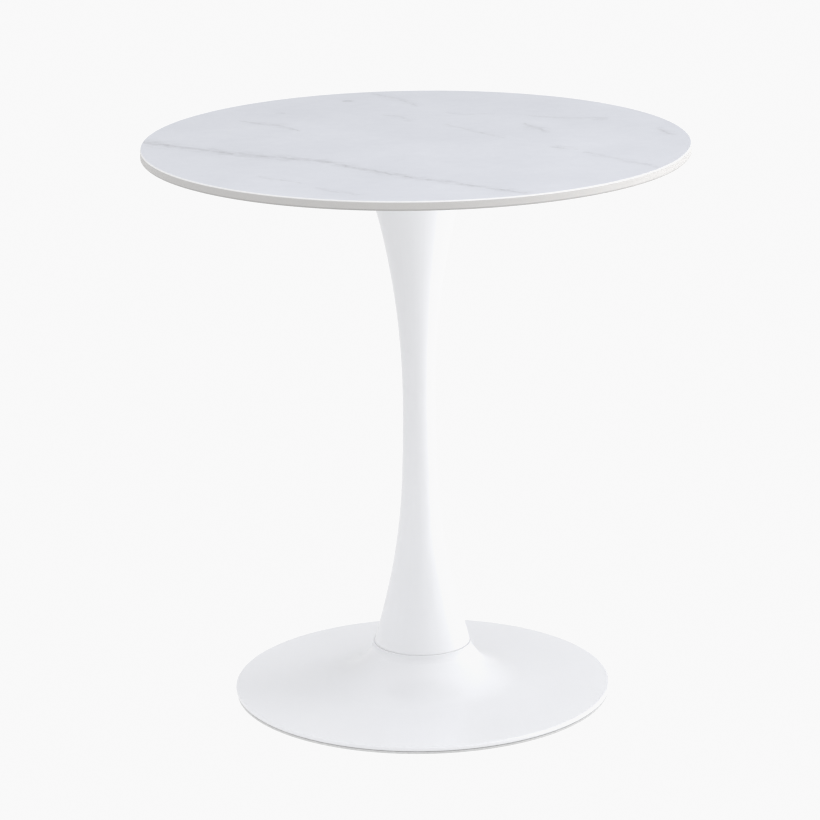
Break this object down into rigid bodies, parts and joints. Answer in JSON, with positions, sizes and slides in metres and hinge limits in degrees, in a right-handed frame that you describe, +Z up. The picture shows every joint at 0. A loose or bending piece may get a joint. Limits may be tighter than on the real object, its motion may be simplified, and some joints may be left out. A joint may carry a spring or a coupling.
{
  "type": "round pedestal table",
  "caption": "Round table with a thin stone-look top on a waisted stem and a wide dished base, standing on one central foot.",
  "frame": {"origin": "on the floor, on the table's axis, at the underside of the floor ring", "axes": "+Z up along the stem; X and Y level, and the outside looks the same from every side"},
  "size_m": [0.6999, 0.7, 0.736],
  "materials": {
    "sintered_stone": "honed pale slab with fine soft grey veins",
    "white_enamel": "smooth glossy white paint over steel",
    "grey_enamel": "matt grey primer",
    "zinc_steel": "zinc plated",
    "bare_steel": "turned, bare",
    "brass": "turned",
    "cast_iron": "as cast, dipped in dark paint",
    "dark_rubber": "smooth sheet",
    "grey_gasket": "smooth",
    "pale_rubber": "matt pale grey",
    "dark_plastic": "moulded, fine grain"
  },
  "bodies": {
    "root": {"tabletop_slab": "sintered_stone", "slab_inserts": "brass", "bedding_pad": "dark_rubber", "mounting_plate": "white_enamel", "mounting_screws": "zinc_steel", "rod_boss": "bare_steel", "upper_dowels": "bare_steel", "stem_shell": "white_enamel", "stem_head_disc": "bare_steel", "stem_foot_disc": "bare_steel", "tie_rod": "zinc_steel", "jam_nut": "zinc_steel", "seam_gasket": "grey_gasket", "lower_dowels": "bare_steel", "base_shell": "white_enamel", "base_weight": "cast_iron", "rod_washer": "zinc_steel", "rod_spring_washer": "zinc_steel", "rod_nut": "zinc_steel", "pocket_cap": "dark_plastic", "base_plate": "grey_enamel", "base_plate_screws": "zinc_steel", "floor_ring": "pale_rubber"}
  },
  "joints": []
}
